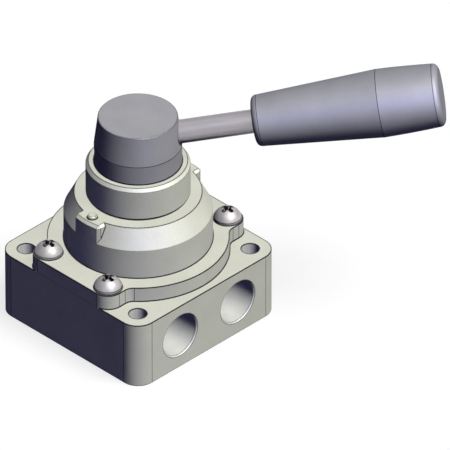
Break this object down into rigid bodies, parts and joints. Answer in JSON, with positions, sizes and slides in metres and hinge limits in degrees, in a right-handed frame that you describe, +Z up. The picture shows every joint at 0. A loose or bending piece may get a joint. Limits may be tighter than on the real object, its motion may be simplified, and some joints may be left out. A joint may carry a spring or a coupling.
{
  "type": "hand lever air valve",
  "caption": "Hand-operated rotary disc air valve with a square base, side ports, a round bonnet and a swinging lever.",
  "frame": {"origin": "centre of the body's bottom face, on the spindle axis", "axes": "+Z up along the spindle; the ports open on +X and -X; the lever rests over the +X +Y corner"},
  "size_m": [0.0835, 0.0835, 0.073],
  "materials": {
    "die_cast_metal": "matte",
    "bonnet_metal": "matte",
    "seat_metal": "satin",
    "hub_metal": "satin",
    "rod_steel": "satin",
    "grip_plastic": "satin",
    "brass_insert": "satin",
    "zinc_plated_steel": "satin",
    "pin_steel": "satin",
    "black_oxide_steel": "matte",
    "stem_steel": "satin",
    "hardened_steel": "ground",
    "spring_steel": "satin",
    "disc_metal": "lapped",
    "washer_plastic": "smooth",
    "bush_bronze": "porous",
    "seal_rubber": "matte"
  },
  "bodies": {
    "housing": {"body": "die_cast_metal", "body_seal": "seal_rubber", "bonnet": "bonnet_metal", "cover_screws": "zinc_plated_steel", "locating_pins": "pin_steel", "index_pin": "pin_steel", "stop_pin": "pin_steel", "thrust_washer": "washer_plastic", "stem_seal": "seal_rubber", "stem_bush": "bush_bronze", "detent_plate": "hardened_steel"},
    "lever": {"turning_seat": "seat_metal", "lever_hub": "hub_metal", "lever_rod": "rod_steel", "grip": "grip_plastic", "grip_insert": "brass_insert", "hub_set_screw": "black_oxide_steel", "stem": "stem_steel", "retaining_ring": "black_oxide_steel", "detent_balls": "hardened_steel", "detent_springs": "spring_steel", "disc_spring": "spring_steel", "valve_disc": "disc_metal"}
  },
  "joints": [
    {"name": "lever_turn", "type": "hinge", "parent": "housing", "child": "lever", "pos_m": [0, 0, 0], "axis": [0, 0, 1], "range_deg": [0, 90]}
  ]
}
